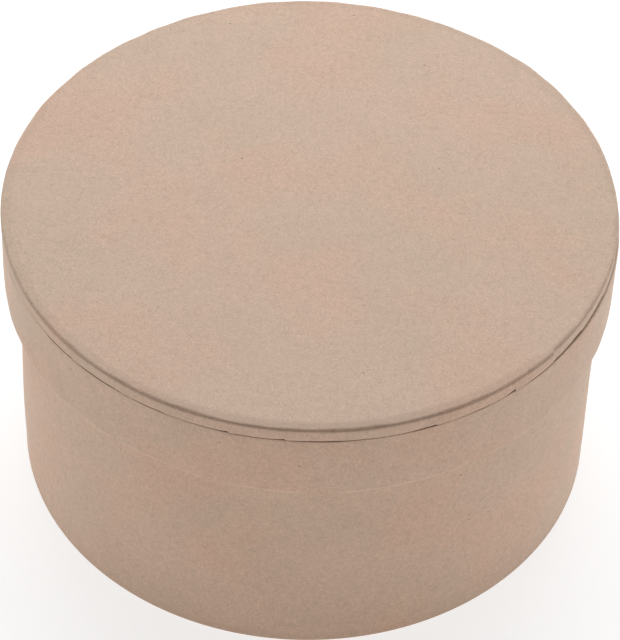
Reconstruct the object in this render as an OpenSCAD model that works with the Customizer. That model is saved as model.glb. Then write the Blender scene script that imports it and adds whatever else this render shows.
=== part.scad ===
// Round lidded box of kraft paper glued over chipboard, with a lid that lifts off.
// +Z is up, the origin is the centre of the foot, and the front of the box is towards -Y.

/* [Lid] */
// Outside diameter of the lid, over its band
lid_d = 150; // [110:1:260]
// Height of the lid, from its lower edge to its top
lid_h = 22; // [18:0.5:36]
// Drop from the lid's top to the upper edge of the band
seam_drop = 3.7; // [2.4:0.1:5]
// Radius of the lid's rounded shoulder, outside the paper
shoulder_r = 0.8; // [0.6:0.1:1.4]
// Height of the cap's turned-down flange, from the lid's top
flange_h = 11; // [8:0.5:13]
// Thickness of the card band round the lid
band_t = 0.5; // [0.3:0.1:1.2]
// Height of the band's lower edge above the lid's lower edge
band_lift = 0.5; // [0.4:0.1:1.5]
// Thickness of the chipboard ring in the lid
rim_t = 1.3; // [1.3:0.1:2]
// Thickness of the chipboard disc in the lid
lid_disc_t = 2; // [1.4:0.1:3]

/* [Base] */
// Height of the base, from the foot to its rim
base_h = 77.8; // [50:0.1:140]
// Depth of the wrap's turned-in flap below the rim
turn_in = 14; // [10:0.5:20]
// Width of the wrap's turned-under flap
turn_under = 9; // [6:0.5:16]
// Drop from the rim to the upper edge of the wall's lining
lining_drop = 6; // [3:0.5:8]
// Distance from the wrap's outside to the edge of the foot paper
foot_inset = 1.2; // [0.8:0.1:3]
// Thickness of the chipboard ring in the base's wall
wall_t = 1.5; // [1.3:0.1:2.2]
// Thickness of the chipboard disc in the base's floor
floor_t = 2; // [1.4:0.1:3]

/* [Fits] */
// Gap all round between the base's wrap and the lining of the lid's rim
fit_gap = 0.7; // [0.6:0.05:1.2]
// Gap between the base's rim and the lid's lining above it at rest
seat_gap = 0.2; // [0.1:0.05:0.4]

/* [Stock] */
// Thickness of the kraft paper
paper_t = 0.3; // [0.2:0.05:0.4]
// Radius of a paper fold, outside the paper
fold_r = 0.6; // [0.5:0.05:0.65]
// Width over which the two ends of a paper strip overlap
lap_w = 12; // [6:1:20]
// Gap between two ends or edges of one layer that meet
butt_gap = 0.5; // [0.3:0.1:1]

/* [Seams] */
// Angle of the overlap in the base's wrap, from +X towards +Y
wrap_seam_a = 76; // [0:1:359]
// Angle of the overlap in the wall's lining
lining_seam_a = 118; // [0:1:359]
// Angle of the butt joint in the lid's band
band_seam_a = 104; // [0:1:359]
// Angle of the butt joint in the lining of the lid's rim
rim_lining_seam_a = 58; // [0:1:359]
// Angle of the butt joint in each chipboard ring
board_seam_a = 97; // [0:1:359]

/* [Hidden] */

kraft_colour = [0.80, 0.70, 0.63];
lining_colour = [0.76, 0.66, 0.58];
board_colour = [0.62, 0.57, 0.52];
$fn = 180;

// How far a cut reaches past what it cuts
past = 1;

// How far the second layer of an overlap reaches into the first, so that the two are one piece
half_t = paper_t / 2;

// Radius of a fold or shoulder in the board under its paper
board_fold_r = fold_r - paper_t;
board_shoulder_r = shoulder_r - paper_t;

// Radii of the lid's layers, from the outside inwards
band_or = lid_d / 2;
cap_or = band_or - band_t;
rim_or = cap_or - paper_t;
rim_ir = rim_or - rim_t;
rim_lining_ir = rim_ir - paper_t;

// Radii of the base's layers, from the outside inwards
wrap_or = rim_lining_ir - fit_gap;
wall_or = wrap_or - paper_t;
wall_ir = wall_or - wall_t;
lining_ir = wall_ir - paper_t;
step_ir = lining_ir - paper_t;
foot_r = wrap_or - foot_inset;
flap_ir = wrap_or - turn_under;

// Heights of the base's layers, above the foot paper that the base stands on
flap_z = paper_t;
board_z = flap_z + paper_t;
floor_z = board_z + floor_t;
floor_top = floor_z + paper_t;
wall_top = base_h - paper_t;
turn_in_z = base_h - turn_in;
step_z = turn_in_z - paper_t;
lining_top = base_h - lining_drop;

// Heights between which the wrap's overlap lies flat, clear of the folds
lap_z = flap_z + fold_r + butt_gap;
lap_top = base_h - fold_r - butt_gap;

// Heights of the lid's layers, above the base's rim that the lid rests on
top_lining_z = base_h + seat_gap;
lid_disc_z = top_lining_z + paper_t;
cap_z = lid_disc_z + lid_disc_t;
lid_top = cap_z + paper_t;
lid_z = lid_top - lid_h;
rim_z = lid_z + paper_t;
band_z = lid_z + band_lift;
seam_z = lid_top - seam_drop;
flange_z = lid_top - flange_h;
rim_flap_top = flange_z - butt_gap;

// What a round of radius r takes off a corner at x, y; sx and sy point from the corner inwards
module corner_cut(x, y, sx, sy, r) {
    if (r > 0) translate([x, y]) mirror([1 - sx, 0]) mirror([0, 1 - sy]) difference() {
        translate([-past, -past]) square(r + past);
        translate([r, r]) circle(r);
    }
}

// A cross-section from x0, y0 to x1, y1, with a round at the lower inner, lower outer, upper outer
// and upper inner corner
module section(x0, y0, x1, y1, low_in, low_out, top_out, top_in) {
    difference() {
        translate([x0, y0]) square([x1 - x0, y1 - y0]);
        corner_cut(x0, y0, 1, 1, low_in);
        corner_cut(x1, y0, 0, 1, low_out);
        corner_cut(x1, y1, 0, 0, top_out);
        corner_cut(x0, y1, 1, 0, top_in);
    }
}

// A square-edged ring, or a disc where r0 is zero
module ring(r0, r1, z0, z1) {
    rotate_extrude() translate([r0, z0]) square([r1 - r0, z1 - z0]);
}

// The doubled stretch where the end of a strip laps over its start, centred on the angle a
module lap(r0, r1, z0, z1, a) {
    sweep = lap_w / r1 * 180 / PI;
    rotate([0, 0, a - sweep / 2]) rotate_extrude(angle = sweep)
        translate([r0, z0]) square([r1 - r0, z1 - z0]);
}

// The space between the two ends of a strip, at the angle a
module butt_cut(r0, r1, z0, z1, a) {
    rotate([0, 0, a]) translate([r0 - past, -butt_gap / 2, z0 - past])
        cube([r1 - r0 + 2 * past, butt_gap, z1 - z0 + 2 * past]);
}

// Kraft disc under the base, over the wrap's turned-under flap, and raised to the floor inside it
module foot_paper() {
    color(kraft_colour) rotate_extrude() difference() {
        union() {
            square([foot_r, flap_z]);
            square([flap_ir, board_z]);
        }
        translate([-past, -past]) square([flap_ir - paper_t + past, flap_z + past]);
    }
}

// Chipboard disc set into the lower end of the wall
module floor_board() {
    color(board_colour) ring(0, wall_ir, board_z, floor_z);
}

// Section of the chipboard ring in the base's wall
module wall_section() {
    section(wall_ir, board_z, wall_or, wall_top, 0, board_fold_r, board_fold_r, board_fold_r);
}

// Chipboard strip bent into a ring, with its ends butted
module wall_board() {
    color(board_colour) difference() {
        rotate_extrude() wall_section();
        butt_cut(wall_ir, wall_or, board_z, wall_top, board_seam_a);
    }
}

// Kraft strip over the outside of the wall, turned in over the rim and turned under the floor
module wall_wrap() {
    color(kraft_colour) union() {
        rotate_extrude() difference() {
            section(flap_ir, flap_z, wrap_or, base_h, 0, fold_r, fold_r, 0);
            wall_section();
            translate([flap_ir - past, board_z]) square([wall_ir - flap_ir + past, turn_in_z - board_z]);
            translate([flap_ir - past, board_z]) square([lining_ir - flap_ir + past, base_h - board_z + past]);
            corner_cut(lining_ir, base_h, 1, 0, fold_r);
        }
        lap(wrap_or - half_t, wrap_or + paper_t, lap_z, lap_top, wrap_seam_a);
    }
}

// Kraft strip inside the wall, which steps inwards over the wrap's turned-in flap
module wall_lining() {
    color(lining_colour) union() {
        rotate_extrude() union() {
            translate([lining_ir, floor_z]) square([paper_t, turn_in_z - floor_z]);
            translate([step_ir, step_z]) square([paper_t, lining_top - step_z]);
        }
        lap(step_ir, lining_ir + half_t, floor_top, turn_in_z, lining_seam_a);
        lap(step_ir - paper_t, step_ir + half_t, step_z - paper_t, lining_top, lining_seam_a);
    }
}

// Kraft disc on the floor inside
module floor_lining() {
    color(lining_colour) ring(0, lining_ir, floor_z, floor_top);
}

// Chipboard disc set into the upper end of the lid's rim
module lid_disc() {
    color(board_colour) ring(0, rim_ir, lid_disc_z, cap_z);
}

// Section of the chipboard ring in the lid
module rim_section() {
    section(rim_ir, rim_z, rim_or, cap_z, board_fold_r, board_fold_r, board_shoulder_r, 0);
}

// Chipboard strip bent into the ring of the lid's rim, with its ends butted
module lid_rim_board() {
    color(board_colour) difference() {
        rotate_extrude() rim_section();
        butt_cut(rim_ir, rim_or, rim_z, cap_z, board_seam_a);
    }
}

// Kraft strip inside the lid's rim, turned out and up round its lower edge
module lid_rim_lining() {
    color(lining_colour) difference() {
        rotate_extrude() difference() {
            section(rim_lining_ir, lid_z, cap_or, lid_disc_z, fold_r, fold_r, 0, 0);
            rim_section();
            translate([rim_or, rim_flap_top]) square([paper_t + past, lid_disc_z - rim_flap_top + past]);
        }
        butt_cut(rim_lining_ir, cap_or, lid_z, lid_disc_z, rim_lining_seam_a);
    }
}

// Kraft disc under the lid's chipboard disc
module lid_top_lining() {
    color(lining_colour) ring(0, rim_lining_ir, top_lining_z, lid_disc_z);
}

// Kraft sheet over the lid's top, turned down over the shoulder
module lid_cap() {
    color(kraft_colour) rotate_extrude() difference() {
        section(0, flange_z, cap_or, lid_top, 0, 0, shoulder_r, 0);
        section(-past, flange_z - past, rim_or, cap_z, 0, 0, board_shoulder_r, 0);
    }
}

// Card strip round the lid's rim, over the edges of the cap and of the rim's lining
module lid_band() {
    color(kraft_colour) difference() {
        ring(cap_or, band_or, band_z, seam_z);
        butt_cut(cap_or, band_or, band_z, seam_z, band_seam_a);
    }
}

foot_paper();
floor_board();
wall_board();
wall_wrap();
wall_lining();
floor_lining();
lid_disc();
lid_rim_board();
lid_rim_lining();
lid_top_lining();
lid_cap();
lid_band();
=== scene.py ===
import math

import bpy
import numpy as np
from mathutils import Matrix, Vector


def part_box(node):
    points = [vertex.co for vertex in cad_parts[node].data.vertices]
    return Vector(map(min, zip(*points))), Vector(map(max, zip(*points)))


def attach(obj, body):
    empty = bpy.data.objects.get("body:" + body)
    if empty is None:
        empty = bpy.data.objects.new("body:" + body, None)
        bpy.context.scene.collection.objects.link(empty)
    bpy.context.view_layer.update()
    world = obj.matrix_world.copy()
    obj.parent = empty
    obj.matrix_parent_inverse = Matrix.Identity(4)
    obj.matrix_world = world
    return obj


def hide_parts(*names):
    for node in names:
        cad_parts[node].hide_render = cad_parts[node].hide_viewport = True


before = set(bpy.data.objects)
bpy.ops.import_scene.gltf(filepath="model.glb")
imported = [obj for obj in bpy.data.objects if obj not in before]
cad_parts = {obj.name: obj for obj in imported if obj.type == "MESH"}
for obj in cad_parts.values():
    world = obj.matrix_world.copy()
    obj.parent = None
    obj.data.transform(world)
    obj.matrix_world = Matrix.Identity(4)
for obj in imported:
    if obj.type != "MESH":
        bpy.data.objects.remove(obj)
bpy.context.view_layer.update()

MM = 0.001

# Camera, as fitted to the outlines of the photograph
FOCAL_PX = 3025.0
PHOTO_LONG_SIDE_PX = 640.0
SENSOR_MM = 36.0
CAMERA_DISTANCE = 704.6
CAMERA_ELEVATION = 46.12
CAMERA_ROLL = 2.0
CAMERA_AIM = (0.6, -40.4)


# Sizes read from the CAD parts in model.glb, in mm

def corners(node):
    """The corners of a CAD node, in mm."""
    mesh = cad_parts[node].data
    flat = np.zeros(len(mesh.vertices) * 3)
    mesh.vertices.foreach_get("co", flat)
    return flat.reshape(-1, 3) / MM


def heights(node):
    """Lowest and highest point of a CAD node."""
    low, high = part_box(node)
    return low.z / MM, high.z / MM


def radii(node):
    """Smallest and largest distance of a CAD node's corners from the centre line."""
    points = corners(node)
    distance = np.hypot(points[:, 0], points[:, 1])
    return distance.min(), distance.max()


CEILING, LID_DISC_LOW = heights("lid_top_lining")
PAPER = LID_DISC_LOW - CEILING
CAP_LOW, TOP = heights("lid_cap")
CAP_R = radii("lid_cap")[1]
BAND_LOW, SEAM = heights("lid_band")
BAND_R = radii("lid_band")[1]
LID_LOW = heights("lid_rim_lining")[0]
RIM_LINING_IN = radii("lid_rim_lining")[0]
WALL_IN, WALL_OUT = radii("wall_board")
WRAP_R = WALL_OUT + PAPER
WRAP_LOW, RIM_TOP = heights("wall_wrap")
UNDER_FLAP_IN = radii("wall_wrap")[0]
LINING_OUT = WALL_IN
LINING_TOP = heights("wall_lining")[1]
FLOOR_TOP = heights("floor_lining")[1]
FLOOR_BOARD_TOP = heights("floor_board")[1]
FOOT_R = radii("foot_paper")[1]


def flap_low():
    """Lowest point of the wrap's flap inside the wall, well above the floor."""
    points = corners("wall_wrap")
    inside = np.hypot(points[:, 0], points[:, 1]) < WALL_IN + 0.01
    return points[inside & (points[:, 2] > FLOOR_TOP + 5)][:, 2].min()


FLAP_LOW = flap_low()

# Seams, in degrees from +X towards +Y, where part.scad has them
WRAP_SEAM = 76.0
LINING_SEAM = 118.0
BAND_SEAM = 104.0
RIM_LINING_SEAM = 58.0
LAP_WIDTH = 12.0
BUTT_GAP = 0.5

# Shape of the paper, in mm
SHOULDER = 0.8
FOLD = 0.6
LIP_GAP = 0.06
LEAST_OUTWARD = -0.2
EDGE_CURL = 0.22
GROOVE_DEPTH = 0.22
CARD_CORNER = 0.09
LAP_FADE = 3.0
WALL_FLARE = 0.35
WALL_SWELL = 0.10
TOP_SWELL = 0.045
CREASE_DEPTH, CREASE_DROP, CREASE_WIDTH = 0.16, 0.05, 0.35
BAND_EDGE_LIFT = 0.12
STAND_OFF_RISE, STAND_OFF_DEPTH = 0.55, 0.16
STAND_OFF_SOFT = 1.2

# Pleats of the cap along the seam: angle, and how far the paper steps out there
PLEATS = [(-155.6, 0.12), (-136.3, 0.15), (-124.3, 0.10), (-115.2, 0.12), (-103.3, 0.18), (-93.3, 0.18),
          (-68.0, 0.20), (-50.0, 0.26), (-39.6, 0.20), (-31.3, 0.15), (-20.2, 0.10)]
FIRST_BACK_PLEAT, LAST_BACK_PLEAT, PLEAT_PITCH = -7.0, 193.0, 12.5

# Where the cap gapes over the seam: angle, height, and run up to it from the side of lower angles
GAPES = [(-155.6, 0.20, 1.2), (-136.3, 0.12, 1.0), (-103.3, 0.30, 0.9), (-93.3, 0.30, 0.9),
         (-66.5, 0.45, 2.2), (-50.0, 0.75, 1.8), (-39.6, 0.40, 1.2), (-30.6, 0.45, 1.6), (-20.2, 0.2, 1.2)]

# The cap's side stands out over the band from LEFT to RIGHT, and lies back from its edge elsewhere
FLUSH_LEFT, FLUSH_RIGHT = -170.0, -39.6

# The fold that runs up over the shoulder from the widest gape, and how far it leans
CREASE_ANGLE, CREASE_LEAN = -50.0, 3.4

# The stretch in which the band's lower edge stands off from the lining's fold
STAND_OFF_FROM, STAND_OFF_TO = -125.5, -112.5

# Light levels, set so that the paper renders about as its colour is written
LAMP_AIM = (0, 0, 0.05)
LAMPS = {
    "key": {"place": (0, 0.45, 1.05), "size": (1.0, 0.8), "watts": 8.3, "colour": (0.98, 0.99, 1.0)},
    "back": {"place": (0, 1.0, 0.60), "size": (1.0, 0.5), "watts": 5.0, "colour": (0.97, 0.985, 1.0)},
    "left": {"place": (-0.97, 0.20, 0.35), "size": (0.5, 0.7), "watts": 1.2, "colour": (0.82, 0.94, 1.0)},
    "right": {"place": (0.95, 0.25, 0.35), "size": (0.5, 0.7), "watts": 1.5, "colour": (0.82, 0.94, 1.0)},
}
WORLD_LIGHT = 0.17
WORLD_COLOUR = (1.0, 0.77, 0.62, 1.0)
FLOOR_SIZE, FLOOR_STEPS = 4.0, 8
FLOOR_GLOW = 0.72
FLOOR_GLOW_COLOUR = (1.0, 0.95, 0.91, 1.0)
FLOOR_ALBEDO = 0.80
FLOOR_SEEN = 0.35
FLOOR_WHITE = 0.75


def turn(degrees):
    return np.radians(degrees)


def apart(a, degrees):
    """Distance along the rim, in mm, from an angle in degrees to the angles a."""
    return ((a - turn(degrees) + np.pi) % (2 * np.pi) - np.pi) * BAND_R


def near(a, degrees, width):
    """1 at an angle, fading over a width in mm."""
    return np.exp(-(apart(a, degrees) / width) ** 2)


def between(a, start, stop, soft):
    """1 from one angle to another, with ends that fade over soft, in mm."""
    middle, half = (start + stop) / 2, (stop - start) / 2 * turn(1) * BAND_R
    return 1 / (1 + np.exp((np.abs(apart(a, middle)) - half) / soft))


def waves(seed, first, last, falloff=1.0):
    """A wandering function of the angle, about 1 in size, with first to last waves a turn."""
    rng = np.random.default_rng(seed)
    n = np.arange(first, last + 1)
    size = n ** -falloff * rng.normal(size=n.size)
    size /= np.sqrt((size ** 2).sum() / 2)
    phase = rng.uniform(0, 2 * np.pi, n.size)
    return lambda a: (size * np.cos(np.multiply.outer(a, n) + phase)).sum(-1)


def ripples(seed, count, most_round, most_up):
    """A wandering function of angle and height, about 1 in size. most_up is in waves over 100 mm."""
    rng = np.random.default_rng(seed)
    n = rng.integers(2, most_round + 1, count)
    k = rng.uniform(-most_up, most_up, count) * 2 * np.pi / 100
    phase = rng.uniform(0, 2 * np.pi, count)
    size = 1 / np.sqrt(count / 2)
    return lambda a, z: sum(size * np.cos(n[i] * a + k[i] * z + phase[i]) for i in range(count))


def ramp(x, low, high):
    """0 below low, 1 above high, and smooth between."""
    t = np.clip((x - low) / (high - low), 0, 1)
    return t * t * (3 - 2 * t)


# Mesh building

def angles_round(count, dense_at=(), reach=1.2, each=8):
    """Angles evenly round the turn, with more of them close to some angles."""
    a = list(np.linspace(-np.pi, np.pi, count, endpoint=False))
    for degrees in dense_at:
        a += list(turn(degrees) + np.linspace(-reach, reach, each) / BAND_R)
    a = np.unique(np.round((np.array(a) + np.pi) % (2 * np.pi) - np.pi, 6))
    keep = np.concatenate([[True], np.diff(a) > 0.04 / BAND_R])
    return a[keep]


def angles_open(seam, count, dense_at=()):
    """Angles from one side of a butt joint round to the other."""
    half = BUTT_GAP / 2 / BAND_R
    a = (angles_round(count, dense_at) - turn(seam)) % (2 * np.pi)
    a = a[(a > half * 2) & (a < 2 * np.pi - half * 2)]
    return np.concatenate([[half], a, [2 * np.pi - half]]) + turn(seam)


def lathe(name, rows, a, joined=True, warp=None, paint=None):
    """A closed shell round the centre line. rows go round its section as (radius, height) in mm, each one
    number or one for each angle. A section that starts and ends on the centre line closes there."""
    r = np.array([np.broadcast_to(row[0], a.shape) for row in rows], float).T
    z = np.array([np.broadcast_to(row[1], a.shape) for row in rows], float).T
    pole = bool(np.all(r[:, 0] < 1e-6) and np.all(r[:, -1] < 1e-6))
    turns = np.broadcast_to(a[:, None], r.shape)
    if warp:
        r, z = warp(turns, r, z)
    points = np.stack([r * np.cos(turns), r * np.sin(turns), z], -1)
    if pole:
        ends = points[:, [0, -1]].mean(0)
        points = points[:, 1:-1]
    around, section = points.shape[:2]
    index = np.arange(around * section).reshape(around, section)
    this, after = (index, np.roll(index, -1, 0)) if joined else (index[:-1], index[1:])
    if not pole:
        this, after = (np.concatenate([x, x[:, :1]], 1) for x in (this, after))
    faces = np.stack([this[:, :-1], after[:, :-1], after[:, 1:], this[:, 1:]], -1).reshape(-1, 4).tolist()
    vertices = points.reshape(-1, 3)
    if pole:
        top, bottom = len(vertices), len(vertices) + 1
        vertices = np.concatenate([vertices, ends])
        faces += [[top, n, t] for t, n in zip(this[:, 0].tolist(), after[:, 0].tolist())]
        faces += [[bottom, t, n] for t, n in zip(this[:, -1].tolist(), after[:, -1].tolist())]
    if not joined:
        for row, flip in ((index[0], False), (index[-1], True)):
            cap = [[row[j], row[j + 1], row[-2 - j], row[-1 - j]] for j in range(section // 2 - 1)]
            faces += [[int(v) for v in (f[::-1] if flip else f)] for f in cap]
    mesh = bpy.data.meshes.new(name)
    mesh.from_pydata((vertices * MM).tolist(), [], faces)
    if volume(vertices, faces) < 0:
        mesh.flip_normals()
    mesh.polygons.foreach_set("use_smooth", [True] * len(mesh.polygons))
    mesh.set_sharp_from_angle(angle=turn(50))
    for layer, function in (paint or {}).items():
        values = np.broadcast_to(function(turns, r, z), r.shape)
        flat = values[:, 1:-1].reshape(-1) if pole else values.reshape(-1)
        flat = np.concatenate([flat, [values[0, 0], values[0, -1]]]) if pole else flat
        mesh.attributes.new(layer, "FLOAT", "POINT").data.foreach_set("value", flat.astype(np.float32))
    mesh.validate()
    piece = bpy.data.objects.new(name, mesh)
    bpy.context.scene.collection.objects.link(piece)
    return piece


def volume(vertices, faces):
    """Six times the signed volume inside the faces."""
    total = 0.0
    for size in (3, 4):
        f = np.array([x for x in faces if len(x) == size], int)
        for k in range(1, size - 1):
            if len(f):
                p, q, s = vertices[f[:, 0]], vertices[f[:, k]], vertices[f[:, k + 1]]
                total += (p * np.cross(q, s)).sum()
    return total


def line(start, stop, count):
    """Points of (radius, height) from one point up to, but not including, another."""
    return [(start[0] + (stop[0] - start[0]) * i / count, start[1] + (stop[1] - start[1]) * i / count)
            for i in range(count)]


def arc(centre, radius, start, stop, count):
    """Points of (radius, height) along an arc, in degrees, up to but not including its end."""
    return [(centre[0] + radius * math.cos(turn(start + (stop - start) * i / count)),
             centre[1] + radius * math.sin(turn(start + (stop - start) * i / count))) for i in range(count)]


def sheet_rows(path):
    """The section of a sheet of paper whose middle follows a path of (radius, height) points."""
    p = np.array(path, float)
    along = np.gradient(p, axis=0)
    along /= np.linalg.norm(along, axis=1)[:, None]
    across = np.stack([along[:, 1], -along[:, 0]], 1) * PAPER / 2
    one, other = p + across, (p - across)[::-1]
    rows = np.concatenate([one, other])
    if abs(p[0, 0]) < 1e-6:
        rows[0, 0] = rows[-1, 0] = 0
    return [tuple(row) for row in rows]


# The lid's outline

BACK_PLEATS = [(angle + 3.5 * math.sin(angle * 1.7), 0.10 + 0.06 * math.sin(angle * 2.3))
               for angle in np.arange(FIRST_BACK_PLEAT, LAST_BACK_PLEAT, PLEAT_PITCH)]
ALL_PLEATS = PLEATS + BACK_PLEATS
PLEAT_ANGLES = [angle for angle, _ in ALL_PLEATS]

cap_wander = waves(12, 3, 40, 0.7)
behind_wander = waves(19, 2, 9)
seam_wander = waves(13, 3, 60, 0.6)
lift_wander = waves(14, 5, 90, 0.5)
shoulder_wander = waves(15, 4, 60, 0.4)
band_ripple = ripples(16, 24, 40, 6)
low_wander = waves(17, 2, 24, 0.8)
top_ripple = ripples(18, 20, 9, 3)


def lid_warp(a, r):
    """How far the lid is out of round, in mm at its band."""
    return (0.12 * np.sin(2 * a) - 0.09 * np.cos(3 * a)) * r / BAND_R


def base_warp(a, r):
    """How far the base is out of round."""
    return (0.08 * np.sin(2 * a) + 0.06 * np.cos(3 * a) - 0.04 * np.sin(3 * a)) * r / WRAP_R


def with_lid(turns, r, z):
    """Takes a piece out of round with the lid."""
    return r + lid_warp(turns, r), z


def with_base(turns, r, z):
    """Takes a piece out of round with the base."""
    return r + base_warp(turns, r), z


def no_wear_no_shade(turns, r, z):
    """No wear and no painted shade anywhere on a piece."""
    return 0.0 * r


def on_lap(turns, seam):
    """1 on the overlap of a strip, rising softly where the paper climbs and ending at the free edge."""
    d = apart(turns, seam)
    climb = ramp(d, -LAP_WIDTH / 2 - LAP_FADE, -LAP_WIDTH / 2)
    return climb * (1 - ramp(d, LAP_WIDTH / 2 - 0.05, LAP_WIDTH / 2 + 0.1))


def flush(a):
    """1 where the cap's side stands out as far as the band, 0 where it lies back."""
    back = 0.30 + 0.22 * behind_wander(a)
    left = between(a, FLUSH_LEFT, FLUSH_RIGHT, 0.12)
    left_fade = between(a, FLUSH_LEFT - 40, FLUSH_RIGHT, 6.0)
    right = between(a, FLUSH_RIGHT, 15.0, 0.12)
    behind = np.clip(back, 0, 0.8) * (1 - between(a, -60, 20.0, 5.0))
    return np.clip(np.maximum(np.maximum(left, left_fade * (1 - right)), behind * (1 - right)), 0, 1)


def pleat_steps(a):
    """How far the pleats carry the paper outwards, in mm."""
    total = np.zeros_like(a)
    for angle, height in ALL_PLEATS:
        d = apart(a, angle)
        total += height * np.exp(-np.maximum(d, 0) / 4.0) * ramp(d, -0.15, 0.15)
    return total


def gape(a):
    """Height to which the cap's lower edge is lifted over the seam, in mm."""
    total = 0.13 + 0.05 * lift_wander(a)
    for angle, height, run in GAPES:
        d = apart(a, angle)
        total = total + height * np.exp(np.minimum(d, 0) / run) * (1 - ramp(d, 0.0, 0.5))
    for angle, height in BACK_PLEATS:
        total = total + height * np.exp(-(apart(a, angle) / 0.6) ** 2)
    return np.clip(total, 0.04, 1.2)


def seam_height(a):
    return SEAM - 0.08 + 0.06 * seam_wander(a)


def make_cap(kraft_top):
    a = angles_round(1080, PLEAT_ANGLES)
    out = CAP_R + (BAND_R - CAP_R) * flush(a) + 0.03 * cap_wander(a)
    steps = pleat_steps(a)
    s = SHOULDER * (1 + 0.18 * shoulder_wander(a))
    low = seam_height(a) + gape(a)
    rows = [(0, TOP)]
    for share in (0.05, 0.12, 0.22, 0.32, 0.42, 0.52, 0.62, 0.71, 0.79, 0.86, 0.91, 0.95, 0.975, 0.99):
        rows.append((share * (CAP_R - SHOULDER), TOP))
    rows.append((out - s, TOP))
    for degrees in (78, 65, 52, 40, 28, 15, 3):
        q = turn(degrees)
        rows.append((out - s + s * math.cos(q), TOP - s + s * math.sin(q)))
    curl = EDGE_CURL
    for share in (0.15, 0.35, 0.55, 0.75, 0.9, 1.0):
        rows.append((out + steps * share, (TOP - s) * (1 - share) + (low + curl) * share))
    edge = out + steps
    for degrees in (-20, -45, -70, -90):
        q = turn(degrees)
        rows.append((edge - curl + curl * math.cos(q), low + curl + curl * math.sin(q)))
    groove = CAP_R - GROOVE_DEPTH
    rows += [(groove + 0.02, low + 0.02), (groove, low - 0.1), (groove, SEAM - 0.9), (CAP_R, SEAM - 1.6),
             (CAP_R, CAP_LOW + 1.5), (CAP_R, CAP_LOW)]
    inner = CAP_R - PAPER
    rows += [(inner, CAP_LOW), (inner, CAP_LOW + 1.5), (inner, SEAM - 0.9), (inner, TOP - SHOULDER - 0.3)]
    bend = SHOULDER - PAPER
    for degrees in (20, 45, 70):
        q = turn(degrees)
        rows.append((inner - bend + bend * math.cos(q), TOP - PAPER - bend + bend * math.sin(q)))
    for share in (0.98, 0.9, 0.75, 0.5, 0.25):
        rows.append((share * (inner - bend), TOP - PAPER))
    rows.append((0, TOP - PAPER))

    def warp(turns, r, z):
        lean = CREASE_ANGLE + CREASE_LEAN * np.clip((z - SEAM) / (TOP - SEAM), 0, 1.3)
        crease = near(turns, lean, CREASE_WIDTH) * ramp(r, BAND_R - 4.5, BAND_R - 1.2) * (z > SEAM)
        inward = ramp(r, 8, 40) * (1 - ramp(r, 60, CAP_R - 1)) * (r < CAP_R - 0.5)
        swell = TOP_SWELL * top_ripple(turns, r * 3) * inward
        return r + lid_warp(turns, r) - CREASE_DEPTH * crease, z + swell - CREASE_DROP * crease

    def wear_and_shade(turns, r, z):
        """Painted shade along the shoulder's crest, strongest at the front, over a little real burnish; and
        painted shade in the groove behind the seam.
        """
        # Crest: mostly painted shade, weighted towards the front, with a little real burnish.
        crest = np.exp(-(((z - (TOP - 0.35)) / 0.40) ** 2)) * (r > CAP_R - 1.6)
        front = 0.35 + 0.65 * near(turns, -85, 55.0)
        # Groove: painted shade in the gap behind the seam.
        inside = ramp(seam_height(turns) + gape(turns) + 0.12 - z, 0.0, 0.1) * (z > CAP_LOW)
        return np.clip(0.55 * crest * front, 0, 1) + inside * (r > CAP_R - 1.2)

    piece = lathe("lid_cap_paper", rows, a, warp=warp, paint={"wear_and_shade": wear_and_shade})
    dress(piece, "lid", "lid_cap", kraft_top)
    return piece


def make_band(kraft_band):
    a = angles_open(BAND_SEAM, 1080, PLEAT_ANGLES)
    top = seam_height(a)
    stand_off = between(a, STAND_OFF_FROM, STAND_OFF_TO, STAND_OFF_SOFT)
    low = BAND_LOW + 0.05 * low_wander(a) + STAND_OFF_RISE * stand_off
    ghost = 0.35 * pleat_steps(a)
    lifted = BAND_EDGE_LIFT * near(a, BAND_SEAM, 9.0)
    corner = CARD_CORNER
    rows = [(BAND_R + lifted - corner * 2.2, top), (BAND_R + lifted - corner, top - 0.01),
            (BAND_R + lifted - corner * 0.3, top - corner * 0.3), (BAND_R + lifted, top - corner)]
    for share in (0.04, 0.10, 0.18, 0.28, 0.40, 0.54, 0.68, 0.80, 0.90, 0.96):
        z = top * (1 - share) + low * share
        rows.append((BAND_R + lifted + ghost * (1 - ramp(share, 0.0, 0.45)), z))
    rows += [(BAND_R + lifted, low + corner), (BAND_R + lifted - corner * 0.3, low + corner * 0.3),
             (BAND_R + lifted - corner, low)]
    outer = len(rows)
    for row in rows[::-1]:
        rows.append((CAP_R + 0.02 + lifted, row[1]))
    rows = rows[:outer * 2]

    def warp(turns, r, z):
        depth = (r - CAP_R) / (BAND_R - CAP_R)
        return r + lid_warp(turns, r) + 0.05 * band_ripple(turns, z) * np.clip(depth, 0, 1), z

    def raw(turns, r, z):
        """The cut upper edge, where the card's pale core shows."""
        return ((z > np.broadcast_to(seam_height(turns) - 0.05, z.shape)) & (r > CAP_R + 0.05)) * 0.8

    piece = lathe("lid_band_card", rows, a, joined=False, warp=warp, paint={"wear_and_shade": no_wear_no_shade, "raw": raw})
    dress(piece, "lid", "lid_band", kraft_band)
    return piece


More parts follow.
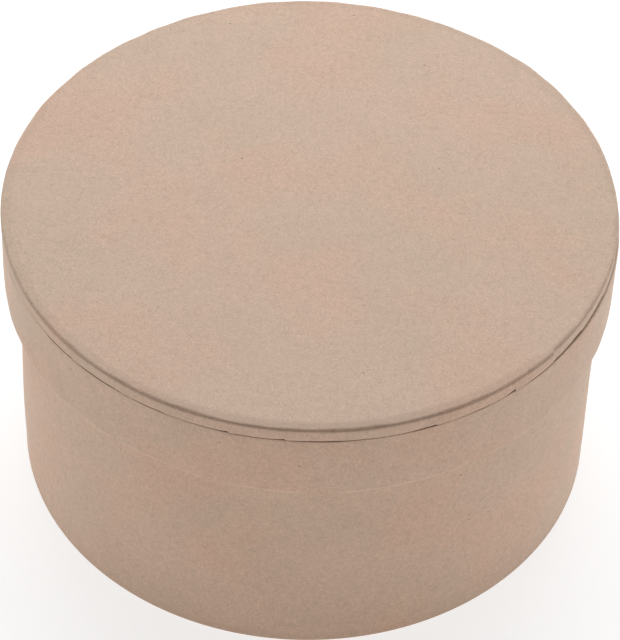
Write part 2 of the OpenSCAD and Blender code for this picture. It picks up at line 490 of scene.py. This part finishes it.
def make_rim_lining(kraft_inside):
    a = angles_open(RIM_LINING_SEAM, 900)
    lip = BAND_R - LIP_GAP - STAND_OFF_DEPTH * between(a, STAND_OFF_FROM, STAND_OFF_TO, STAND_OFF_SOFT)
    low = LID_LOW + 0.04 * low_wander(a + 0.3)
    half = PAPER / 2
    inside, outside = RIM_LINING_IN + half, CAP_R - half
    bend = FOLD - half
    path = line((inside, CEILING - 0.02), (inside, LID_LOW + FOLD), 10)
    path += arc((inside + bend, LID_LOW + FOLD), bend, 180, 270, 6)
    path += line((inside + bend, LID_LOW + half), (outside - bend, LID_LOW + half), 3)
    path += arc((outside - bend, LID_LOW + FOLD), bend, 270, 360, 7)
    path += line((outside, LID_LOW + FOLD), (outside, CAP_LOW - 0.6), 5)
    path.append((outside, CAP_LOW - 0.5))
    rows = [(np.full(a.shape, r), np.full(a.shape, z)) for r, z in sheet_rows(path)]
    shaped = []
    for r, z in rows:
        out = ramp(r, RIM_LINING_IN + 1.2, CAP_R - 0.35) * (1 - ramp(z, BAND_LOW + 0.15, BAND_LOW + 0.8))
        down = (low - LID_LOW) * (1 - ramp(z, LID_LOW + 1, LID_LOW + 4))
        shaped.append((r + (lip - CAP_R) * out, z + down))
    piece = lathe("lid_rim_lining_paper", shaped, a, joined=False, warp=with_lid, paint={"wear_and_shade": no_wear_no_shade})
    dress(piece, "lid", "lid_rim_lining", kraft_inside)
    return piece


def make_top_lining(kraft_inside):
    a = angles_round(360)
    edge = RIM_LINING_IN - 0.02
    rows = [(0, LID_DISC_LOW)]
    rows += [(edge * share, LID_DISC_LOW) for share in (0.1, 0.25, 0.4, 0.55, 0.7, 0.85, 0.95, 1.0)]
    rows += [(edge * share, CEILING) for share in (1.0, 0.95, 0.85, 0.7, 0.55, 0.4, 0.25, 0.1)]
    rows.append((0, CEILING))
    piece = lathe("lid_top_lining_paper", rows, a, warp=with_lid, paint={"wear_and_shade": no_wear_no_shade})
    dress(piece, "lid", "lid_top_lining", kraft_inside)
    return piece


# The base's outline

wall_ripple = ripples(31, 22, 14, 2.2)
foot_wander = waves(33, 3, 40, 0.6)
lining_wander = waves(34, 3, 40, 0.6)


def make_wrap(kraft_wall):
    lap = LAP_WIDTH / 2 / WRAP_R / turn(1)
    free_edge, ramp_edge = WRAP_SEAM + lap, WRAP_SEAM - lap
    a = angles_round(900, (free_edge, ramp_edge))
    half = PAPER / 2
    outside, inside = WRAP_R - half, WALL_IN - half
    bend = FOLD - half
    path = line((inside, FLAP_LOW), (inside, RIM_TOP - FOLD), 6)
    path += arc((inside + bend, RIM_TOP - FOLD), bend, 180, 90, 6)
    path += line((inside + bend, RIM_TOP - half), (outside - bend, RIM_TOP - half), 3)
    path += arc((outside - bend, RIM_TOP - FOLD), bend, 90, 0, 6)
    path += line((outside, RIM_TOP - FOLD), (outside, WRAP_LOW + FOLD), 26)
    path += arc((outside - bend, WRAP_LOW + FOLD), bend, 0, -90, 7)
    path += line((outside - bend, WRAP_LOW + half), (UNDER_FLAP_IN, WRAP_LOW + half), 6)
    path.append((UNDER_FLAP_IN, WRAP_LOW + half))
    rows = sheet_rows(path)

    def warp(turns, r, z):
        skin = ramp(r, WALL_OUT - 0.05, WALL_OUT + 0.05)
        clear_of_folds = ramp(z, 0.9, 1.6) * (1 - ramp(z, RIM_TOP - 2, RIM_TOP - 0.8))
        step = PAPER * on_lap(turns, WRAP_SEAM) * skin * clear_of_folds
        below_lid = ramp(z, 2, 12) * (1 - ramp(z, RIM_TOP - 22, RIM_TOP - 8))
        swell = WALL_SWELL * wall_ripple(turns, z) * below_lid
        flare = WALL_FLARE * (1 - z / RIM_TOP)
        outer = ramp(r, WALL_IN + 0.2, WALL_OUT)
        return r + step + np.maximum(base_warp(turns, r) + (swell + flare) * outer, LEAST_OUTWARD), z

    def wear_and_shade(turns, r, z):
        """Darker along the fold at the foot."""
        return 0.25 * np.exp(-((z - WRAP_LOW - 0.2) / 0.5) ** 2)

    piece = lathe("wall_wrap_paper", rows, a, warp=warp, paint={"wear_and_shade": wear_and_shade})
    dress(piece, "base", "wall_wrap", kraft_wall)
    return piece


def make_wall_lining(kraft_inside):
    lap = LAP_WIDTH / 2 / LINING_OUT / turn(1)
    a = angles_round(600, (LINING_SEAM + lap, LINING_SEAM - lap))
    half = PAPER / 2
    low, high = LINING_OUT - half, LINING_OUT - PAPER - half
    path = line((low, FLOOR_BOARD_TOP + 0.02), (low, FLAP_LOW - 0.5), 14)
    path += line((low, FLAP_LOW - 0.4), (high, FLAP_LOW + 0.5), 5)
    path += line((high, FLAP_LOW + 0.6), (high, LINING_TOP), 4)
    path.append((high, LINING_TOP))
    rows = [(r, z + (0.12 * lining_wander(a) if z > LINING_TOP - 0.1 else 0)) for r, z in sheet_rows(path)]

    def warp(turns, r, z):
        face = r < LINING_OUT - 0.9 * half
        return r + base_warp(turns, r) - 0.9 * PAPER * on_lap(turns, LINING_SEAM) * face, z

    piece = lathe("wall_lining_paper", rows, a, warp=warp, paint={"wear_and_shade": no_wear_no_shade})
    dress(piece, "base", "wall_lining", kraft_inside)
    return piece


def make_floor_lining(kraft_inside):
    a = angles_round(360)
    edge = LINING_OUT - PAPER - 0.25
    shares = (0.1, 0.25, 0.4, 0.55, 0.7, 0.85, 0.95, 1.0)
    rows = [(0, FLOOR_TOP)] + [(edge * share, FLOOR_TOP) for share in shares]
    rows += [(edge * share, FLOOR_BOARD_TOP) for share in shares[::-1]] + [(0, FLOOR_BOARD_TOP)]
    piece = lathe("floor_lining_paper", rows, a, warp=with_base, paint={"wear_and_shade": no_wear_no_shade})
    dress(piece, "base", "floor_lining", kraft_inside)
    return piece


def make_foot(kraft_foot):
    a = angles_round(600)
    edge = FOOT_R + 0.2 * foot_wander(a)
    step = UNDER_FLAP_IN
    rise = WRAP_LOW
    rows = [(0, rise)] + [(step * share, rise) for share in (0.2, 0.45, 0.7, 0.9)]
    middle = (step + edge) / 2
    rows += [(step - 0.8, rise), (step - 0.2, 0.2 * rise), (step + 0.3, 0), (step + 2, 0), (middle, 0)]
    rows += [(edge - 0.1, 0), (edge, 0.05), (edge, rise - 0.02), (middle, rise), (step + 2, rise)]
    rows += [(step + 0.1, rise), (step - 0.1, rise * 2 - 0.02)]
    rows += [(step * share, rise * 2) for share in (0.9, 0.7, 0.45, 0.2)] + [(0, rise * 2)]
    piece = lathe("foot_paper_disc", rows, a, warp=with_base, paint={"wear_and_shade": no_wear_no_shade})
    dress(piece, "base", "foot_paper", kraft_foot)
    return piece


def dress(piece, body, node, material):
    """Puts a new piece on its body in place of a CAD node, with its material."""
    piece.data.materials.append(material)
    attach(piece, body)
    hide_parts(node)


# Materials

def srgb(red, green, blue):
    """A colour given in 0 to 255 as a screen shows it, as the shader wants it."""
    return tuple(c / 12.92 if c <= 0.04045 else ((c + 0.055) / 1.055) ** 2.4
                 for c in (red / 255, green / 255, blue / 255)) + (1.0,)


class Nodes:
    """Shorthand for building one material's nodes."""

    def __init__(self, name):
        self.material = bpy.data.materials.new(name)
        self.material.use_nodes = True
        self.tree = self.material.node_tree
        self.shader = self.tree.nodes["Principled BSDF"]
        coordinates = self.tree.nodes.new("ShaderNodeTexCoord").outputs["Object"]
        self.mm = self.vector("SCALE", coordinates, scale=1 / MM)

    def put(self, socket, value):
        if isinstance(value, bpy.types.NodeSocket):
            self.tree.links.new(value, socket)
        else:
            socket.default_value = value

    def vector(self, operation, first, second=None, scale=None):
        node = self.tree.nodes.new("ShaderNodeVectorMath")
        node.operation = operation
        self.put(node.inputs[0], first)
        if second is not None:
            self.put(node.inputs[1], second)
        if scale is not None:
            self.put(node.inputs["Scale"], scale)
        return node.outputs["Vector"]

    def math(self, operation, first, second=0.0, clamp=False):
        node = self.tree.nodes.new("ShaderNodeMath")
        node.operation = operation
        node.use_clamp = clamp
        self.put(node.inputs[0], first)
        self.put(node.inputs[1], second)
        return node.outputs["Value"]

    def noise(self, size, detail=2.0, roughness=0.5, offset=0.0, distortion=0.0):
        """Noise with features of a size in mm, from 0 to 1 about 0.5."""
        node = self.tree.nodes.new("ShaderNodeTexNoise")
        moved = self.vector("ADD", self.mm, (offset, offset * 1.7, offset * 0.6))
        self.put(node.inputs["Vector"], moved)
        node.inputs["Scale"].default_value = 1 / size
        node.inputs["Detail"].default_value = detail
        node.inputs["Roughness"].default_value = roughness
        node.inputs["Distortion"].default_value = distortion
        return node.outputs["Fac"]

    def span(self, value, low, high):
        """0 at low, 1 at high, and smooth between."""
        node = self.tree.nodes.new("ShaderNodeMapRange")
        node.interpolation_type = "SMOOTHSTEP"
        self.put(node.inputs["Value"], value)
        node.inputs["From Min"].default_value = low
        node.inputs["From Max"].default_value = high
        return node.outputs["Result"]

    def mix(self, factor, first, second):
        node = self.tree.nodes.new("ShaderNodeMix")
        node.data_type = "RGBA"
        self.put(node.inputs["Factor"], factor)
        self.put(node.inputs[6], first)
        self.put(node.inputs[7], second)
        return node.outputs[2]

    def layer(self, name):
        node = self.tree.nodes.new("ShaderNodeAttribute")
        node.attribute_name = name
        return node.outputs["Fac"]

    def bump(self, height, distance, strength=1.0):
        node = self.tree.nodes.new("ShaderNodeBump")
        node.inputs["Strength"].default_value = strength
        node.inputs["Distance"].default_value = distance * MM
        self.put(node.inputs["Height"], height)
        self.put(self.shader.inputs["Normal"], node.outputs["Normal"])


def fibre_lines(n, size, width, offset, cover):
    """Short thin curved lines: stretches of a noise's middle contour."""
    field = n.noise(size, detail=1.0, offset=offset, distortion=0.4)
    ridge = n.math("ABSOLUTE", n.math("SUBTRACT", field, 0.5))
    thin = n.math("SUBTRACT", 1.0, n.span(ridge, 0.0, width))
    kept = n.span(n.noise(size * 0.8, detail=0.0, offset=offset + 31), 0.62 - cover, 0.68 - cover)
    return n.math("MULTIPLY", thin, kept)


def kraft(name, colour, seed, edges=False):
    """Kraft paper: soft patches of tint, fine speckle, short fibres and a few specks, darkened where
    marked, mostly with painted shade."""
    n = Nodes(name)
    patch = n.noise(34, detail=2.0, offset=seed)
    warm = n.noise(26, detail=2.0, offset=seed + 50)
    tint = n.mix(n.span(patch, 0.40, 0.64), colour, shade(colour, 0.965, 0.985, 0.975))
    tint = n.mix(n.span(warm, 0.45, 0.66), tint, shade(colour, 1.02, 0.975, 0.955))
    cloud = n.noise(7.0, detail=2.0, offset=seed + 80)
    grain = n.noise(1.5, detail=2.0, roughness=0.6, offset=seed + 7)
    speckle = n.noise(0.55, detail=1.0, roughness=0.6, offset=seed + 13)
    light = n.math("ADD", 1.0, n.math("MULTIPLY", n.math("SUBTRACT", cloud, 0.5), CLOUD_SHARE))
    light = n.math("ADD", light, n.math("MULTIPLY", n.math("SUBTRACT", grain, 0.5), GRAIN_SHARE))
    light = n.math("ADD", light, n.math("MULTIPLY", n.math("SUBTRACT", speckle, 0.5), SPECKLE_SHARE))
    paint = n.vector("SCALE", tint, scale=light)
    long_fibres = fibre_lines(n, 3.4, 0.030, seed + 3, 0.10)
    short_fibres = fibre_lines(n, 2.3, 0.040, seed + 23, 0.10)
    fibres = n.math("ADD", long_fibres, short_fibres, clamp=True)
    paint = n.mix(n.math("MULTIPLY", fibres, FIBRE_SHARE), paint, FIBRE_COLOUR)
    specks = n.tree.nodes.new("ShaderNodeTexVoronoi")
    n.put(specks.inputs["Vector"], n.mm)
    specks.inputs["Scale"].default_value = 1 / SPECK_SPACING
    specks.inputs["Randomness"].default_value = 1.0
    dark = n.math("SUBTRACT", 1.0, n.span(specks.outputs["Distance"], 0.030, 0.060))
    rare = n.span(n.noise(4.0, detail=0.0, offset=seed + 61), 0.58, 0.62)
    paint = n.mix(n.math("MULTIPLY", n.math("MULTIPLY", dark, rare), 0.7), paint, SPECK_COLOUR)
    # Darkens where marked: painted shade on the lid's shoulder crest and seam groove, with some real
    # burnish on the crest, and the darker fold at the wall's foot.
    paint = n.mix(n.math("MULTIPLY", n.layer("wear_and_shade"), 0.72), paint, WEAR_AND_SHADE_COLOUR)
    if edges:
        paint = n.mix(n.math("MULTIPLY", n.layer("raw"), 0.8), paint, CORE_COLOUR)
    n.put(n.shader.inputs["Base Color"], paint)
    n.put(n.shader.inputs["Roughness"], n.math("ADD", 0.80, n.math("MULTIPLY", grain, 0.12)))
    n.shader.inputs["Specular IOR Level"].default_value = 0.3
    n.shader.inputs["Sheen Weight"].default_value = 0.06
    n.shader.inputs["Sheen Roughness"].default_value = 0.5
    height = n.math("ADD", grain, n.math("MULTIPLY", speckle, 0.7))
    height = n.math("SUBTRACT", height, n.math("MULTIPLY", fibres, 0.3))
    n.bump(height, 0.05, 0.5)
    return n.material


def shade(colour, red, green, blue):
    """A colour with its channels scaled."""
    return (colour[0] * red, colour[1] * green, colour[2] * blue, 1.0)


def chipboard(name):
    """Grey board of pressed waste paper, with flecks."""
    n = Nodes(name)
    cloud = n.noise(6.0, detail=3.0, offset=3)
    grain = n.noise(0.8, detail=2.0, roughness=0.7, offset=9)
    light = n.math("ADD", 0.80, n.math("MULTIPLY", grain, 0.40))
    tint = n.mix(n.span(cloud, 0.35, 0.65), BOARD_COLOUR, BOARD_PATCH_COLOUR)
    paint = n.vector("SCALE", tint, scale=light)
    flecks = n.span(n.noise(1.6, detail=1.0, offset=21), 0.66, 0.72)
    paint = n.mix(n.math("MULTIPLY", flecks, 0.5), paint, BOARD_FLECK_COLOUR)
    n.put(n.shader.inputs["Base Color"], paint)
    n.shader.inputs["Roughness"].default_value = 0.95
    n.shader.inputs["Specular IOR Level"].default_value = 0.2
    n.bump(grain, 0.08, 0.6)
    return n.material


# Stage, lights and camera

def make_floor():
    """A pale floor that shows as white to the camera, and still takes the object's shadow."""
    steps, row = FLOOR_STEPS, FLOOR_STEPS + 1
    across = [FLOOR_SIZE * (i / steps - 0.5) for i in range(row)]
    grid = [(x, y, 0.0) for y in across for x in across]
    faces = [(j * row + i, j * row + i + 1, (j + 1) * row + i + 1, (j + 1) * row + i)
             for j in range(steps) for i in range(steps)]
    mesh = bpy.data.meshes.new("floor")
    mesh.from_pydata(grid, [], faces)
    floor = bpy.data.objects.new("floor", mesh)
    bpy.context.scene.collection.objects.link(floor)
    material = bpy.data.materials.new("floor_white")
    material.use_nodes = True
    tree = material.node_tree
    tree.nodes.clear()
    path = tree.nodes.new("ShaderNodeLightPath")
    bounce = tree.nodes.new("ShaderNodeBsdfDiffuse")
    bounce.inputs["Color"].default_value = (FLOOR_ALBEDO, FLOOR_ALBEDO, FLOOR_ALBEDO, 1)
    glow = tree.nodes.new("ShaderNodeEmission")
    glow.inputs["Color"].default_value = FLOOR_GLOW_COLOUR
    glow.inputs["Strength"].default_value = FLOOR_GLOW
    lit = tree.nodes.new("ShaderNodeAddShader")
    tree.links.new(bounce.outputs[0], lit.inputs[0])
    tree.links.new(glow.outputs[0], lit.inputs[1])
    seen_diffuse = tree.nodes.new("ShaderNodeBsdfDiffuse")
    seen_diffuse.inputs["Color"].default_value = (FLOOR_SEEN, FLOOR_SEEN, FLOOR_SEEN, 1)
    white = tree.nodes.new("ShaderNodeEmission")
    white.inputs["Strength"].default_value = FLOOR_WHITE
    seen = tree.nodes.new("ShaderNodeAddShader")
    tree.links.new(seen_diffuse.outputs[0], seen.inputs[0])
    tree.links.new(white.outputs[0], seen.inputs[1])
    pick = tree.nodes.new("ShaderNodeMixShader")
    tree.links.new(path.outputs["Is Camera Ray"], pick.inputs[0])
    tree.links.new(lit.outputs[0], pick.inputs[1])
    tree.links.new(seen.outputs[0], pick.inputs[2])
    out = tree.nodes.new("ShaderNodeOutputMaterial")
    tree.links.new(pick.outputs[0], out.inputs["Surface"])
    mesh.materials.append(material)


def make_world():
    world = bpy.data.worlds.new("studio")
    bpy.context.scene.world = world
    world.use_nodes = True
    tree = world.node_tree
    tree.nodes.clear()
    path = tree.nodes.new("ShaderNodeLightPath")
    seen = tree.nodes.new("ShaderNodeMath")
    seen.operation = "MAXIMUM"
    tree.links.new(path.outputs["Is Camera Ray"], seen.inputs[0])
    glossy = tree.nodes.new("ShaderNodeMath")
    glossy.operation = "MAXIMUM"
    tree.links.new(path.outputs["Is Glossy Ray"], glossy.inputs[0])
    tree.links.new(path.outputs["Is Transmission Ray"], glossy.inputs[1])
    tree.links.new(glossy.outputs[0], seen.inputs[1])
    dim = tree.nodes.new("ShaderNodeBackground")
    dim.inputs["Color"].default_value = WORLD_COLOUR
    dim.inputs["Strength"].default_value = WORLD_LIGHT
    white = tree.nodes.new("ShaderNodeBackground")
    white.inputs["Color"].default_value = (1, 1, 1, 1)
    white.inputs["Strength"].default_value = 1.0
    pick = tree.nodes.new("ShaderNodeMixShader")
    tree.links.new(seen.outputs[0], pick.inputs[0])
    tree.links.new(dim.outputs[0], pick.inputs[1])
    tree.links.new(white.outputs[0], pick.inputs[2])
    out = tree.nodes.new("ShaderNodeOutputWorld")
    tree.links.new(pick.outputs[0], out.inputs["Surface"])


def softbox(name, place, size, watts, colour):
    """An area lamp at a place in metres, turned to the box."""
    data = bpy.data.lights.new(name, "AREA")
    data.shape = "RECTANGLE"
    data.size, data.size_y = size
    data.energy = watts
    data.color = colour
    lamp = bpy.data.objects.new(name, data)
    lamp.location = place
    lamp.rotation_mode = "QUATERNION"
    lamp.rotation_quaternion = (Vector(LAMP_AIM) - Vector(place)).to_track_quat("-Z", "Y")
    lamp.visible_camera = False
    bpy.context.scene.collection.objects.link(lamp)


def make_lights():
    for name, lamp in LAMPS.items():
        softbox(name, **lamp)


def make_camera():
    elevation, roll = turn(CAMERA_ELEVATION), turn(CAMERA_ROLL)
    back = Vector((0, -math.cos(elevation), math.sin(elevation)))
    level = Vector((1, 0, 0))
    rise = back.cross(level)
    right = level * math.cos(roll) + rise * math.sin(roll)
    up = rise * math.cos(roll) - level * math.sin(roll)
    data = bpy.data.cameras.new("camera")
    data.sensor_width = SENSOR_MM
    data.lens = FOCAL_PX * SENSOR_MM / PHOTO_LONG_SIDE_PX
    data.clip_start, data.clip_end = 0.01, 20
    camera = bpy.data.objects.new("camera", data)
    place = Matrix((right, up, back)).transposed().to_4x4()
    place.translation = (Vector((CAMERA_AIM[0], CAMERA_AIM[1], TOP)) + back * CAMERA_DISTANCE) * MM
    camera.matrix_world = place
    bpy.context.scene.collection.objects.link(camera)
    bpy.context.scene.camera = camera


# Paper colours, as the photograph shows them under full light
PAPER_COLOUR = srgb(208, 184, 166)
INSIDE_COLOUR = srgb(200, 175, 156)
FIBRE_COLOUR = srgb(120, 88, 66)
SPECK_COLOUR = srgb(95, 70, 52)
# Dark brown for painted shade on the lid's crest and seam groove, and for the darker fold at the wall's
# foot.
WEAR_AND_SHADE_COLOUR = srgb(104, 76, 56)
CORE_COLOUR = srgb(222, 205, 188)
BOARD_COLOUR = srgb(158, 146, 132)
BOARD_PATCH_COLOUR = srgb(142, 132, 120)
BOARD_FLECK_COLOUR = srgb(190, 182, 172)

# How strongly each layer of the paper's texture shows, and the spacing of its specks in mm
CLOUD_SHARE, GRAIN_SHARE, SPECKLE_SHARE, FIBRE_SHARE = 0.07, 0.22, 0.40, 0.10
SPECK_SPACING = 5.0

make_camera()
make_lights()
make_world()
make_floor()

KRAFT_TOP = kraft("kraft_top", PAPER_COLOUR, 3.0)
KRAFT_BAND = kraft("kraft_band", PAPER_COLOUR, 140.0, edges=True)
KRAFT_WALL = kraft("kraft_wall", PAPER_COLOUR, 260.0)
KRAFT_FOOT = kraft("kraft_foot", INSIDE_COLOUR, 380.0)
KRAFT_INSIDE = kraft("kraft_inside", INSIDE_COLOUR, 500.0)
BOARD = chipboard("chipboard")

make_cap(KRAFT_TOP)
make_band(KRAFT_BAND)
make_rim_lining(KRAFT_INSIDE)
make_top_lining(KRAFT_INSIDE)
make_wrap(KRAFT_WALL)
make_wall_lining(KRAFT_INSIDE)
make_floor_lining(KRAFT_INSIDE)
make_foot(KRAFT_FOOT)

for node in ("floor_board", "wall_board", "lid_disc", "lid_rim_board"):
    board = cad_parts[node]
    board.data.materials.clear()
    board.data.materials.append(BOARD)

bpy.context.scene.view_settings.view_transform = "Standard"
